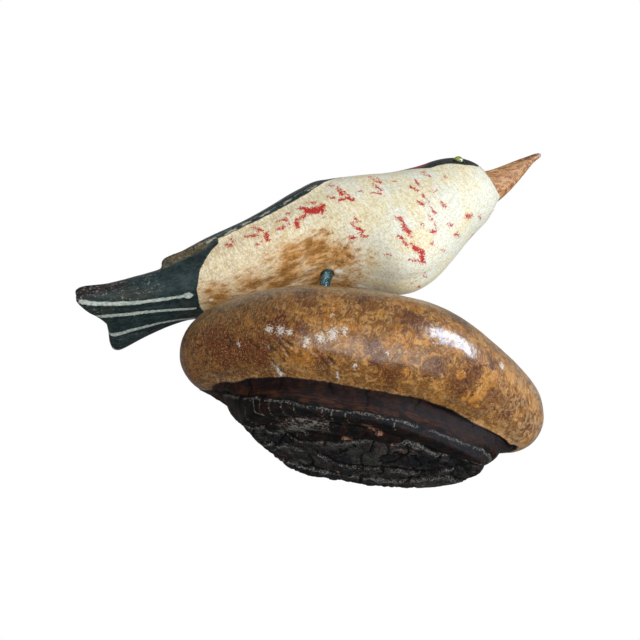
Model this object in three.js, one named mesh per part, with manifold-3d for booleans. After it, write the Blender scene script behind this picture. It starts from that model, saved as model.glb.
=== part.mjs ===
// A folk carving of a woodpecker. The painted bird stands on one threaded steel rod above a bracket fungus that is
// turned upside down: the fungus's flat pore face is the shelf under the bird, its fat rounded rim faces the front,
// and its ridged, cracked crust is the underside that everything rests on. Millimetres, +Z up. The front of the rim
// faces -Y and the bird's head points to +X. The origin is in the middle of the flat that the fungus rests on.
import * as THREE from "three";
import Module from "manifold-3d";
import { mergeVertices } from "three/addons/utils/BufferGeometryUtils.js";

const GAP = 0.3; // clearance that neighbouring pieces keep
const DEG = Math.PI / 180;

// The rod is quarter-inch threaded steel. It stands upright, off the middle of the shelf.
const ROD_RADIUS = 3.175;
const ROD_SIDES = 24;
const ROD_X = -32;
const ROD_Y = -3;
const ROD_IN_FUNGUS = 32;
const ROD_IN_BIRD = 27;
const BELLY_HOLE_RADIUS = 3.9;

// The fungus stands SHELF_HEIGHT tall. Its growth rings are centred GROWTH_Y behind the origin.
const SHELF_HEIGHT = 70;
const GROWTH_Y = 24;
const FUNGUS_AROUND = 72;
const RIM_SHOULDER = 24; // how far inside the rim the shelf starts to round over
const BACK_SHOULDER = 6;

// Outlines of the fungus seen from above, as rows of direction and distance from the centre of growth. Directions
// are in degrees: 0 is towards +X, -90 is the front. The rim is its widest line and the foot is the edge of the
// flat that it rests on.
const RIM = [
  [-180, 94], [-171, 102], [-148, 91], [-127, 82], [-103, 77.5], [-87, 78.5], [-76, 80.5],
  [-65, 81], [-53, 82], [-38, 86], [-29, 90.5], [-14, 99.5], [-6, 94], [10, 71],
  [31, 46.5], [60, 31], [90, 28], [120, 32], [147, 47.5], [167, 72], [180, 94],
];
const FOOT = [
  [-180, 38], [-170, 45], [-159, 56], [-146, 61], [-138, 61], [-123, 57], [-105, 53], [-90, 53],
  [-75, 54.5], [-60, 58], [-45, 63.5], [-34, 68], [-22, 62], [-10, 48], [6, 32],
  [30, 19], [60, 13], [90, 12], [120, 16], [141, 24.5], [160, 30], [180, 38],
];
// How far the rim's lower edge lies inside the widest line, and how high that edge is.
const TUCK = [
  [-180, 17], [-165, 20], [-145, 22], [-120, 22], [-90, 23], [-60, 22], [-35, 17], [-14, 15],
  [5, 9], [30, 4], [90, 3], [150, 4], [165, 9], [180, 17],
];
const LIFT = [
  [-180, 26], [-165, 22], [-145, 19], [-120, 17], [-90, 16], [-60, 18], [-35, 21], [-14, 26],
  [5, 34], [30, 50], [90, 54], [150, 46], [165, 34], [180, 26],
];
// Grooves between the growth ridges on the underside, as rows of distance from the centre of growth over the
// foot's and depth. The ridges between them are worn flat.
const RIDGES = [
  [0.2, 0], [0.6, 0], [0.63, 3.2], [0.68, 0], [0.74, 0], [0.8, 0], [0.83, 3.8], [0.88, 0], [1, 0],
];
// The crust between the foot and the rim climbs in steps, as rows of part of the way out and part of the way up.
const CRUST = [[0.16, 0.12], [0.32, 0.4], [0.6, 0.52], [0.7, 0.84], [0.96, 0.94]];

// The bird's frame has its origin where the rod enters the belly, +X along the body to the head, +Y to the bird's
// left and +Z out of its back.
const BELLY_HEIGHT = 107;
const BIRD_PITCH = 29; // degrees that the head is raised
const BIRD_YAW = -15; // degrees that the head is turned to the front

// Sections of the bird from the end of the tail to the tip of the bill: distance from the rod, half width, height
// of the widest line, rise of the back above it, drop of the belly below it, and how square the section is.
const SECTIONS = [
  { at: -137, half: 25, mid: 21.5, rise: 6, drop: 6, square: 0.5 },
  { at: -112, half: 19.5, mid: 23, rise: 10, drop: 10, square: 0.35 },
  { at: -92, half: 17, mid: 25, rise: 15, drop: 14, square: 0.15 },
  { at: -76, half: 19, mid: 26, rise: 18, drop: 18, square: 0 },
  { at: -60, half: 22.5, mid: 26, rise: 20.5, drop: 22, square: 0 },
  { at: -40, half: 26, mid: 27, rise: 22, drop: 25, square: 0 },
  { at: -20, half: 29, mid: 28, rise: 25.5, drop: 28, square: 0 },
  { at: 0, half: 32.5, mid: 30, rise: 28.5, drop: 30, square: 0 },
  { at: 20, half: 36, mid: 30, rise: 31, drop: 39, square: 0 },
  { at: 40, half: 35, mid: 26, rise: 31, drop: 48, square: 0 },
  { at: 60, half: 32, mid: 23, rise: 31, drop: 44.5, square: 0 },
  { at: 80, half: 28, mid: 26, rise: 30, drop: 36.5, square: 0 },
  { at: 95, half: 25.5, mid: 31, rise: 27, drop: 31, square: 0 },
  { at: 108, half: 22, mid: 33, rise: 22, drop: 26, square: 0 },
  { at: 117, half: 16, mid: 33, rise: 15, drop: 20, square: 0 },
  { at: 122, half: 10, mid: 33, rise: 9, drop: 15, square: 0 },
  { at: 135, half: 7.5, mid: 36, rise: 7, drop: 12, square: 0 },
  { at: 150, half: 5, mid: 41, rise: 5, drop: 7.5, square: 0 },
  { at: 170, half: 1.8, mid: 47, rise: 1.8, drop: 2, square: 0 },
];
const TAIL_ROOT = -112; // where the notch in the tail's end begins to show
const TAIL_NOTCH = 9;
const TAIL_SKEW = 2.5; // the left corner of the tail is the shorter one

// The folded wings are raised panels on the sides and the back. They stand out more towards their tips.
const WING_FRONT = 22;
const WING_TIP = -88;
const WING_EDGE = 10; // degrees above the widest line
const WING_INNER = 70;
const WING_THICK = 2.6;
const WING_THICK_TIP = 5;

// Directions of a section's points on its upper half, in degrees from the side over the back. They lie closer
// together where the edges of the wings run.
const UPPER = [0, 8, 12, 21, 31, 41, 51, 60, 66, 72, 81];
const LOWER = 20;

// The eyes are round-headed pins, set into the head.
const EYE_AT = new THREE.Vector3(103, 23.2, 37.5);
const EYE_FACING = new THREE.Vector3(0.26, 0.95, 0.1).normalize();
const EYE_RADIUS = 3.1;
const EYE_BULGE = 2.1;
const EYE_DEPTH = 3;

const { lerp, smoothstep, clamp } = THREE.MathUtils;
const power = (value, n) => Math.sign(value) * Math.abs(value) ** n;

// A cubic from a to b over a span of length h, with the slopes sa and sb at its ends.
function hermite(a, sa, b, sb, h, t) {
  const t2 = t * t;
  const t3 = t2 * t;
  return (2 * t3 - 3 * t2 + 1) * a + (t3 - 2 * t2 + t) * sa * h + (3 * t2 - 2 * t3) * b + (t3 - t2) * sb * h;
}

// A smooth closed curve through rows of direction and value. The last row repeats the first.
function around(rows, degrees) {
  const last = rows.length - 1;
  let i = 0;
  while (i < last - 1 && degrees > rows[i + 1][0]) i += 1;
  const row = (k) => {
    if (k < 0) return [rows[last - 1][0] - 360, rows[last - 1][1]];
    if (k > last) return [rows[1][0] + 360, rows[1][1]];
    return rows[k];
  };
  const slope = (p, q) => (q[1] - p[1]) / (q[0] - p[0]);
  const a = row(i);
  const b = row(i + 1);
  const h = b[0] - a[0];
  return hermite(a[1], slope(row(i - 1), b), b[1], slope(a, row(i + 2)), h, (degrees - a[0]) / h);
}

// A smooth curve through one value of the bird's sections, without overshoot.
function along(at, key) {
  const last = SECTIONS.length - 1;
  let i = 0;
  while (i < last - 1 && at > SECTIONS[i + 1].at) i += 1;
  const rate = (k) => (SECTIONS[k + 1][key] - SECTIONS[k][key]) / (SECTIONS[k + 1].at - SECTIONS[k].at);
  const slope = (k) => {
    if (k === 0 || k === last) return 0;
    const before = rate(k - 1);
    const after = rate(k);
    return before * after <= 0 ? 0 : (2 * before * after) / (before + after);
  };
  const h = SECTIONS[i + 1].at - SECTIONS[i].at;
  const t = clamp((at - SECTIONS[i].at) / h, 0, 1);
  return hermite(SECTIONS[i][key], slope(i), SECTIONS[i + 1][key], slope(i + 1), h, t);
}

// A closed surface over rings of points, with a single point at each end.
function ringSolid(first, rings, last) {
  const count = rings[0].length;
  const points = [first, ...rings.flat(), last];
  const end = points.length - 1;
  const at = (ring, k) => 1 + ring * count + (k % count);
  const index = [];
  for (let k = 0; k < count; k += 1) {
    index.push(0, at(0, k + 1), at(0, k));
    index.push(end, at(rings.length - 1, k), at(rings.length - 1, k + 1));
  }
  for (let r = 0; r < rings.length - 1; r += 1) {
    for (let k = 0; k < count; k += 1) {
      index.push(at(r, k), at(r, k + 1), at(r + 1, k));
      index.push(at(r, k + 1), at(r + 1, k + 1), at(r + 1, k));
    }
  }
  return new THREE.BufferGeometry().setFromPoints(points).setIndex(index);
}

// Cutting one geometry out of another.
const wasm = await Module();
wasm.setup();

function toSolid(geometry) {
  const bare = new THREE.BufferGeometry();
  bare.setAttribute("position", geometry.getAttribute("position"));
  bare.setIndex(geometry.getIndex());
  const merged = mergeVertices(bare, 1e-4);
  const vertProperties = new Float32Array(merged.getAttribute("position").array);
  const triVerts = new Uint32Array(merged.getIndex().array);
  return new wasm.Manifold(new wasm.Mesh({ numProp: 3, vertProperties, triVerts }));
}

function cut(geometry, ...cutters) {
  let solid = toSolid(geometry);
  for (const cutter of cutters) solid = solid.subtract(toSolid(cutter));
  const mesh = solid.getMesh();
  const result = new THREE.BufferGeometry();
  result.setAttribute("position", new THREE.BufferAttribute(new Float32Array(mesh.vertProperties), 3));
  result.setIndex(new THREE.BufferAttribute(new Uint32Array(mesh.triVerts), 1));
  return result;
}

// The section of the fungus in one direction, from near the middle of the underside, out over the crust, up round
// the rim and back over the shelf, as rows of distance and height.
function fungusSection(degrees) {
  const rim = around(RIM, degrees) + 0.5 * Math.sin(5 * degrees * DEG) + 0.3 * Math.sin(11 * degrees * DEG + 1);
  const foot = around(FOOT, degrees) + 0.6 * Math.sin(9 * degrees * DEG + 2);
  const tuck = around(TUCK, degrees);
  const edge = around(LIFT, degrees);
  const back = smoothstep(Math.sin(degrees * DEG), -0.12, 0.2); // 1 where the rim gives way to the flat back
  const widest = lerp((SHELF_HEIGHT + edge) / 2, SHELF_HEIGHT - 8, back);
  const lower = rim - tuck;
  const section = RIDGES.map(([part, depth]) => [foot * part, depth * (1 - back)]);
  for (const [out, up] of CRUST) section.push([lerp(foot, lower, out), edge * up]);
  for (let j = 0; j < 6; j += 1) {
    const a = j * 15 * DEG;
    section.push([lower + tuck * Math.sin(a), widest - (widest - edge) * Math.cos(a)]);
  }
  const shoulder = lerp(Math.min(RIM_SHOULDER, rim * 0.4), BACK_SHOULDER, back);
  for (let j = 0; j <= 5; j += 1) {
    const a = j * 18 * DEG;
    section.push([rim - shoulder + shoulder * Math.cos(a), widest + (SHELF_HEIGHT - widest) * Math.sin(a)]);
  }
  section.push([(rim - shoulder) * 0.5, SHELF_HEIGHT]);
  return section;
}

function fungusGeometry() {
  const directions = Array.from({ length: FUNGUS_AROUND }, (unused, i) => (360 * i) / FUNGUS_AROUND - 180);
  const sections = directions.map(fungusSection);
  const rings = sections[0].map((unused, j) =>
    sections.map((section, i) => {
      const a = directions[i] * DEG;
      const [out, up] = section[j];
      return new THREE.Vector3(out * Math.cos(a), GROWTH_Y + out * Math.sin(a), up);
    }),
  );
  return ringSolid(new THREE.Vector3(0, GROWTH_Y, 0), rings, new THREE.Vector3(0, GROWTH_Y, SHELF_HEIGHT));
}

// How far a wing stands out of the body at a distance from the rod and a direction of the section.
function wingRaise(at, degrees) {
  const side = degrees > 90 ? 180 - degrees : degrees;
  if (side < WING_EDGE || side > WING_INNER || at < WING_TIP) return 0;
  const thick = lerp(WING_THICK, WING_THICK_TIP, smoothstep(-at, 30, 80));
  const inner = smoothstep(side, 20, WING_INNER); // the wing thins towards its inner edge and its tip
  const thin = lerp(1, 0.75 * smoothstep(at - WING_TIP, 0, 40), inner);
  return thick * thin * smoothstep(WING_FRONT - at, 0, 12);
}

function birdPoint(at, degrees) {
  const n = lerp(0.96, 0.35, along(at, "square"));
  const up = power(Math.sin(degrees * DEG), n);
  const across = power(Math.cos(degrees * DEG), n);
  const y = along(at, "half") * across;
  const z = (up > 0 ? along(at, "rise") : along(at, "drop")) * up;
  const raise = 1 + wingRaise(at, degrees) / Math.hypot(y, z);
  const end = Math.max(0, (TAIL_ROOT - at) / (TAIL_ROOT - SECTIONS[0].at));
  const notch = TAIL_NOTCH * (1 - Math.abs(across)) + TAIL_SKEW * across;
  return new THREE.Vector3(at + notch * end, y * raise, along(at, "mid") + z * raise);
}

function birdGeometry() {
  const directions = [...UPPER, 90];
  for (const d of UPPER.slice(1).reverse()) directions.push(180 - d);
  for (let i = 0; i < LOWER; i += 1) directions.push(180 + (180 * i) / LOWER);
  const stops = [-137, -129, -121, -113, -106, -99, -92, -88.2, -87.8, -83];
  for (let at = -78; at <= 106; at += 5.4) stops.push(at);
  for (let at = 108; at <= 125; at += 2.4) stops.push(at);
  stops.push(130, 137, 145, 154, 163, 170);
  const rings = stops.map((at) => directions.map((d) => birdPoint(at, d)));
  const tailEnd = birdPoint(SECTIONS[0].at, 90).setZ(SECTIONS[0].mid);
  return ringSolid(tailEnd, rings, new THREE.Vector3(171.5, 0, 47));
}

// A pin's head seen from the side, turned about its axis, with its face looking to +Z and its edge at 0.
function eyeGeometry() {
  const profile = [new THREE.Vector2(0, -EYE_DEPTH), new THREE.Vector2(EYE_RADIUS, -EYE_DEPTH)];
  for (let j = 0; j < 4; j += 1) {
    const a = j * 22.5 * DEG;
    profile.push(new THREE.Vector2(EYE_RADIUS * Math.cos(a), EYE_BULGE * Math.sin(a)));
  }
  profile.push(new THREE.Vector2(0, EYE_BULGE));
  return new THREE.LatheGeometry(profile, 12).rotateX(Math.PI / 2);
}

// Turns and moves an object that looks along +Z to one side's eye: side is 1 for the left and -1 for the right.
function placeAtEye(object, side) {
  const facing = EYE_FACING.clone().setY(EYE_FACING.y * side);
  object.position.set(EYE_AT.x, EYE_AT.y * side, EYE_AT.z);
  object.quaternion.setFromUnitVectors(new THREE.Vector3(0, 0, 1), facing);
  object.updateMatrix();
  return object;
}

function eyeSocket(side) {
  const socket = new THREE.CylinderGeometry(EYE_RADIUS + GAP, EYE_RADIUS + GAP, EYE_DEPTH + GAP + 6, 20);
  socket.rotateX(Math.PI / 2).translate(0, 0, 3 - (EYE_DEPTH + GAP) / 2);
  return socket.applyMatrix4(placeAtEye(new THREE.Object3D(), side).matrix);
}

// The hole in the belly is upright, so in the bird's frame it leans by the bird's pitch.
function bellyHole() {
  const length = ROD_IN_BIRD + GAP + 20;
  const hole = new THREE.CylinderGeometry(BELLY_HOLE_RADIUS, BELLY_HOLE_RADIUS, length, 24).rotateX(Math.PI / 2);
  return hole.translate(0, 0, length / 2 - 20).rotateY(BIRD_PITCH * DEG);
}

function shelfHole() {
  const length = ROD_IN_FUNGUS + GAP + 10;
  const hole = new THREE.CylinderGeometry(ROD_RADIUS + GAP, ROD_RADIUS + GAP, length, 24).rotateX(Math.PI / 2);
  return hole.translate(ROD_X, ROD_Y, SHELF_HEIGHT + 10 - length / 2);
}

const paint = new THREE.MeshStandardMaterial({ color: 0xdfd3b6, roughness: 0.65, metalness: 0 });
const crust = new THREE.MeshStandardMaterial({ color: 0x8f5a28, roughness: 0.4, metalness: 0 });
const steel = new THREE.MeshStandardMaterial({ color: 0x7f9296, roughness: 0.35, metalness: 0.9 });
const eyePaint = new THREE.MeshStandardMaterial({ color: 0xb9c13a, roughness: 0.25, metalness: 0 });

const model = new THREE.Group();

const fungus = new THREE.Mesh(cut(fungusGeometry(), shelfHole()), crust);
fungus.name = "fungus_base";
model.add(fungus);

const rodLength = ROD_IN_FUNGUS + BELLY_HEIGHT - SHELF_HEIGHT + ROD_IN_BIRD;
const rod = new THREE.Mesh(new THREE.CylinderGeometry(ROD_RADIUS, ROD_RADIUS, rodLength, ROD_SIDES), steel);
rod.name = "threaded_rod";
rod.rotation.x = Math.PI / 2;
rod.position.set(ROD_X, ROD_Y, SHELF_HEIGHT - ROD_IN_FUNGUS + rodLength / 2);
model.add(rod);

const perched = new THREE.Group();
perched.rotation.set(0, -BIRD_PITCH * DEG, BIRD_YAW * DEG, "ZYX");
perched.position.set(ROD_X, ROD_Y, BELLY_HEIGHT);
model.add(perched);

const bird = new THREE.Mesh(cut(birdGeometry(), bellyHole(), eyeSocket(1), eyeSocket(-1)), paint);
bird.name = "carved_bird";
perched.add(bird);

for (const [name, side] of [["eye_left", 1], ["eye_right", -1]]) {
  const eye = placeAtEye(new THREE.Mesh(eyeGeometry(), eyePaint), side);
  eye.name = name;
  perched.add(eye);
}

export default model;
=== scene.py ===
"""A carved and painted woodpecker on a threaded steel rod above an upturned bracket fungus."""

import functools
import math

import bpy
import bmesh
import numpy as np
from mathutils import Euler, Matrix, Vector, noise


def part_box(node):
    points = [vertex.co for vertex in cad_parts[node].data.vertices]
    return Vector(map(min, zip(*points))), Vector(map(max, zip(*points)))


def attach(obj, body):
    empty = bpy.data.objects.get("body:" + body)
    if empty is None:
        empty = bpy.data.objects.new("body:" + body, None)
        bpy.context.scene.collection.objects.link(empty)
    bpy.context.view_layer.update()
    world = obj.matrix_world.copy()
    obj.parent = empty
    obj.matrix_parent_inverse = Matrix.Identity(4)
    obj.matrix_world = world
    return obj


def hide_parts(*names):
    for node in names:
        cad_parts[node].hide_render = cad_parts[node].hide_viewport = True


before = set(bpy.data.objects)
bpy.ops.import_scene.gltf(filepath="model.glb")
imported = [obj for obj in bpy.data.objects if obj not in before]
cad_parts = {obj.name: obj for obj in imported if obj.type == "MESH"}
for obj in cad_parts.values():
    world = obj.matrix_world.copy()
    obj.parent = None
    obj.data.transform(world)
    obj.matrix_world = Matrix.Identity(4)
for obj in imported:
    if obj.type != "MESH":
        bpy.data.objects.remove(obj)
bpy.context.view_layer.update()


# The stand-in for the photographer's set: a plain pale floor that shows only from above, because the view of the
# photograph looks up from below it, a white backdrop, and large soft lights on the camera's side.
VIEW_TARGET = Vector((-0.030, 0.030, 0.100))
VIEW_DISTANCE = 0.375
VIEW_TILT = math.radians(40)  # the camera looks up by this much
VIEW_ROLL = math.radians(13)
LENS = 34.03
FLOOR_SIZE = 6
FLOOR_COLOURS = (0.80, 0.79, 0.77, 1), (0.86, 0.85, 0.83, 1)
FLOOR_ROUGHNESS = 0.9
SKY_STRENGTH = 0.14, 0.34  # what the backdrop gives from straight below and from straight above
PLAIN = (1.0, 0.99, 0.97)  # colours of the lamps
COOL = (0.84, 0.91, 1.0)
BLUISH = (0.68, 0.82, 1.0)
LIGHTS = (  # direction from the object, distance, width and height in metres, watts, colour, shines, glints
    ("window", (0.66, -0.68, 0.33), 1.30, 1.00, 0.70, 3.3, COOL, True, False),
    ("window_glint", (0.66, -0.68, 0.33), 1.20, 0.80, 0.46, 24.0, BLUISH, False, True),
    ("front", (0.10, -0.87, -0.46), 1.60, 2.40, 2.00, 14.5, PLAIN, True, True),
    ("low_right", (0.92, -0.28, -0.27), 1.50, 1.20, 0.80, 11.5, COOL, True, False),
    ("below", (0.05, -0.80, -0.61), 1.60, 1.80, 1.00, 12.5, PLAIN, True, True),
    ("above", (-0.35, 0.45, 0.82), 1.70, 1.60, 1.60, 5.5, PLAIN, True, True),
)


class Amount:
    """One socket of a finish. An operator on it adds the Math node that works the result out."""

    def __init__(self, finish, socket):
        self.finish = finish
        self.socket = socket

    def math(self, operation, *terms):
        return self.finish.node("Math", {"operation": operation}, dict(enumerate(terms)))

    def __add__(self, other):
        return self.math("ADD", self, other)

    def __sub__(self, other):
        return self.math("SUBTRACT", self, other)

    def __rsub__(self, other):
        return self.math("SUBTRACT", other, self)

    def __mul__(self, other):
        return self.math("MULTIPLY", self, other)

    __radd__ = __add__
    __rmul__ = __mul__


class Finish:
    """A material made of nodes. Sizes of patterns are in millimetres, in the object's own frame."""

    def __init__(self, name, **constants):
        self.material = bpy.data.materials.new(name)
        self.material.use_nodes = True
        self.tree = self.material.node_tree
        self.shader = self.tree.nodes["Principled BSDF"]
        self.feed(self.shader, constants)

    def feed(self, made, values):
        """Links or sets a node's inputs. A text is the chart code of a colour."""
        for key, value in values.items():
            if isinstance(value, Amount):
                self.tree.links.new(value.socket, made.inputs[key])
            else:
                made.inputs[key].default_value = tint(value) if isinstance(value, str) else value

    def node(self, kind, settings, values, output=0):
        made = self.tree.nodes.new("ShaderNode" + kind)
        for key, value in settings.items():
            setattr(made, key, value)
        self.feed(made, values)
        return Amount(self, made.outputs[output])

    def place(self, origin=(0, 0, 0), turn=(0, 0, 0)):
        """Object coordinates in millimetres, in a frame with that origin and turn."""
        own = self.node("TexCoord", {}, {}, "Object")
        values = {"Vector": own, "Location": origin, "Rotation": turn, "Scale": (0.001, 0.001, 0.001)}
        return self.node("Mapping", {"vector_type": "TEXTURE"}, values)

    def apart(self, place):
        made = self.node("SeparateXYZ", {}, {"Vector": place})
        return [Amount(self, socket) for socket in made.socket.node.outputs]

    def from_middle(self, across, over):
        """The distance from the middle of a face, from the distances across it and over it."""
        return across.math("SQRT", across * across + over * over)

    def cloud(self, place, size, detail=4.0, rough=0.55, warp=0.0, stretch=None):
        """Smooth noise around 0.5, with features of that size, longer where the stretch of an axis is under 1."""
        if stretch:
            place = self.node("VectorMath", {"operation": "MULTIPLY"}, {0: place, 1: stretch})
        values = {"Vector": place, "Scale": 1 / size, "Detail": detail, "Roughness": rough, "Distortion": warp}
        return self.node("TexNoise", {}, values)

    def ramp(self, value, low, high):
        """0 where the value is under low, 1 where it is over high, and smooth between them."""
        values = {"Value": value, "From Min": low, "From Max": high}
        return self.node("MapRange", {"interpolation_type": "SMOOTHSTEP"}, values)

    def kept(self, *names):
        """Values that the mesh keeps at its points."""
        return [self.node("Attribute", {"attribute_name": name}, {}, "Fac") for name in names]

    def mix(self, factor, below, above):
        return self.node("Mix", {"data_type": "RGBA"}, {0: factor, 6: below, 7: above}, 2)

    def blend(self, value, low, high, first, second):
        """Two paints, the first where the value is low and the second where it is high."""
        return self.mix(self.ramp(value, low, high), first, second)

    def coats(self, colour, *layers):
        """Thin coats over a colour, each with its paint, the value it follows from low to high, and its share."""
        for paint, value, low, high, share in layers:
            colour = self.mix(self.ramp(value, low, high) * share, colour, paint)
        return colour

    def shade(self, colour, factor):
        """The colour, darker where the factor is under 1."""
        grey = self.node("CombineXYZ", {}, {0: factor, 1: factor, 2: factor})
        return self.node("VectorMath", {"operation": "MULTIPLY"}, {0: colour, 1: grey})

    def finished(self, colour, roughness, height, depth, **more):
        """Feeds the shader. The height is 0 to 1 and the depth is what 1 stands for, in millimetres."""
        bump = self.node("Bump", {}, {"Height": height, "Distance": depth * 0.001, "Strength": 1.0})
        self.feed(self.shader, {"Base Color": colour, "Roughness": roughness, "Normal": bump, **more})
        return self.material


def tint(code):
    """A colour as a painter's chart gives it, turned to the shader's linear scale."""
    parts = [int(code[i:i + 2], 16) / 255 for i in (0, 2, 4)]
    return (*[p / 12.92 if p <= 0.04045 else ((p + 0.055) / 1.055) ** 2.4 for p in parts], 1)


camera = bpy.data.objects.new("camera", bpy.data.cameras.new("camera"))
camera.data.lens = LENS
camera.data.sensor_width = 36
camera.data.clip_start = 0.01
bpy.context.scene.collection.objects.link(camera)
bpy.context.scene.camera = camera
forward = Vector((0, math.cos(VIEW_TILT), math.sin(VIEW_TILT)))
view_turn = Matrix.Rotation(math.pi / 2 + VIEW_TILT, 4, "X") @ Matrix.Rotation(VIEW_ROLL, 4, "Z")
camera.matrix_world = Matrix.Translation(VIEW_TARGET - forward * VIEW_DISTANCE) @ view_turn

bpy.ops.object.select_all(action="DESELECT")
bpy.ops.mesh.primitive_plane_add(size=FLOOR_SIZE, location=(0, 0, 0))
floor = bpy.context.object
floor.name = "floor"
for ray in ("shadow", "diffuse", "glossy", "transmission"):
    setattr(floor, "visible_" + ray, False)
ground = Finish("pale floor", Roughness=FLOOR_ROUGHNESS)
ground_cloud = ground.cloud(ground.place(), 60, 3)
ground_colour = ground.mix(ground_cloud, *FLOOR_COLOURS)
floor.data.materials.append(ground.finished(ground_colour, FLOOR_ROUGHNESS, ground_cloud, 0.05))
from_below = ground.node("NewGeometry", {}, {}, "Backfacing")
clear = ground.node("BsdfTransparent", {}, {})
laid = ground.node("MixShader", {}, {0: from_below, 1: Amount(ground, ground.shader.outputs[0]), 2: clear})
ground.tree.links.new(laid.socket, ground.tree.nodes["Material Output"].inputs["Surface"])

for name, direction, distance, width, height, power, colour, shines, glints in LIGHTS:
    lamp = bpy.data.objects.new(name + "_light", bpy.data.lights.new(name + "_light", "AREA"))
    lamp.data.shape = "RECTANGLE"
    lamp.data.size = width
    lamp.data.size_y = height
    lamp.data.energy = power
    lamp.data.color = colour
    bpy.context.scene.collection.objects.link(lamp)
    toward = Vector(direction).normalized()
    lamp.location = VIEW_TARGET + toward * distance
    lamp.rotation_euler = toward.to_track_quat("Z", "Y").to_euler()
    lamp.visible_camera = False
    lamp.visible_diffuse = shines
    lamp.visible_glossy = glints

# The backdrop is plain white to the camera. For the light that it gives, it is dim, and dimmer below than above.
world = bpy.data.worlds.new("studio")
bpy.context.scene.world = world
world.use_nodes = True
backdrop = world.node_tree.nodes["Background"]
backdrop.inputs["Color"].default_value = (1, 1, 1, 1)
sky, sky_parts, sky_ramp, seen, level = [world.node_tree.nodes.new("ShaderNode" + kind) for kind in (
    "TexCoord", "SeparateXYZ", "MapRange", "LightPath", "Mix")]
sky_ramp.inputs["From Min"].default_value = -1
sky_ramp.inputs["To Min"].default_value, sky_ramp.inputs["To Max"].default_value = SKY_STRENGTH
level.inputs[3].default_value = 1.0
for given, taken in (
        (sky.outputs["Generated"], sky_parts.inputs[0]), (sky_parts.outputs["Z"], sky_ramp.inputs["Value"]),
        (seen.outputs["Is Camera Ray"], level.inputs[0]), (sky_ramp.outputs[0], level.inputs[2]),
        (level.outputs[0], backdrop.inputs["Strength"])):
    world.node_tree.links.new(given, taken)
bpy.context.scene.view_settings.view_transform = "Standard"


# The fungus is a large hoof-shaped bracket, dried, varnished and turned over, so that its fat rounded growing edge
# is the front and its old cracked crust is the foot. The pore face is the shelf, drilled for the rod.
GROWTH_Y = 24  # mm, the middle of the growth rings
FUNGUS_GRAIN = 0.00085  # m, size of the relief mesh
FUNGUS_RIM = 0.0040  # m, reach of the rod hole's sharp rim
FUNGUS_HOLE = 3.6, 5.5  # mm from the rod's axis, the relief fades out between these
FUNGUS_BUMP = 0.30  # mm, depth of the finest relief
SHARP = math.radians(40)  # edges that bend more than this are edges of the real piece
SKEWED = math.radians(60)
UNDERSIDE_TOP = 14  # mm, the old growth layers lie under this height
SHELF_START = 66, 69.5  # mm, heights between which the lip turns into the shelf
LEDGE_DEPTH = 1.5  # mm
LIP_STRETCH = 1.35  # mm of the lip to a degree of turn, for its fissures and for its spots
SPOT_STRETCH = 1.3
CHIP_WIDTH = 0.7746  # the chips are longer along x, by 1 over this
PORE = 0.55  # mm
LIP_EDGE = (  # direction around the growth rings, height of the lip's lower edge, reach of the foot
    (-180, 29, 38), (-175, 24.5, 44), (-171, 21.4, 48), (-168, 20.9, 51), (-160, 19.6, 56), (-154, 18.1, 59),
    (-146, 18.2, 61), (-139, 17.6, 60), (-123, 16.6, 57),
    (-110, 16.2, 53.5), (-96, 15.4, 53), (-77, 16, 54.5), (-62, 17.8, 57.5), (-52, 18.8, 60), (-39, 18.6, 66),
    (-30, 20, 66), (-19, 23.2, 59), (-14, 26, 53), (5, 34, 33), (30, 50, 19), (60, 53, 13), (90, 54, 12),
    (120, 51, 16), (150, 46, 27), (165, 34, 31), (180, 29, 38))
LEDGE = (  # direction, and height of the broken ledge that runs round the crust under the smooth band
    (-171, 20), (-158, 14.2), (-147, 10.1), (-132, 6), (-120, 4.8), (-110, 5), (-95, 5.1), (-82, 4.9),
    (-72, 5.6), (-59, 6.7), (-45, 6.6), (-30, 9.8), (-15, 15))
LAYERS = (  # the front edges of the old growth layers on the underside, as x and y
    ((-75, 3), (-53, 2.7), (-38, 2.5), (-30, 3.6), (-24.5, 5.1), (-13.4, 0.8), (-5.5, -3), (1.9, -7.7), (15.2, -13),
     (21, -16.9), (28.8, -15.3), (35.9, -12.2), (41.4, -11.1), (47.8, -13.7), (56.7, -11.5), (75, -8)),
    ((-75, 18), (-43, 16.3), (-36.5, 15.4), (-26.8, 13), (-18, 12.2), (-11, 15.8), (-6.2, 18.2), (6.8, 16.5),
     (15, 13.5), (22.4, 12.2), (31, 11.4), (37, 9), (41, 2), (47, -1.5), (53.5, -2.8), (75, 2)),
    ((-75, 29), (-31.3, 28.5), (-22.5, 30.3), (-10.9, 30.8), (0, 27.7), (13.3, 25.9), (26.2, 23.2), (33.5, 16.7),
     (42, 8.1), (75, 8)),
    ((-75, 45), (75, 38)))
CRACKS = (  # across the layers, as x and y from point to point
    ((8.1, -9.6), (5.7, 2.8), (4.6, 9), (7.1, 18.9)), ((15.3, 12.2), (16.3, 21.7)), ((1.4, -17.9), (0.5, -7)),
    ((39.8, -16.3), (37.4, -7.4), (35, 1.2)), ((31.8, 2.5), (28.9, 10)), ((50.6, -12.9), (55.2, -8.4)),
    ((-13.5, -2), (-14.4, 4.6)), ((-33, 4), (-35, 14)), ((-20, 14), (-16, 29)), ((22, -15), (25, -4), (21, 4)),
    ((-48, 4), (-50, 16)), ((33, 12), (30, 22)), ((-3, 0), (-6, 9)), ((12, -11), (16, -4), (14, 2)))
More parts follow.
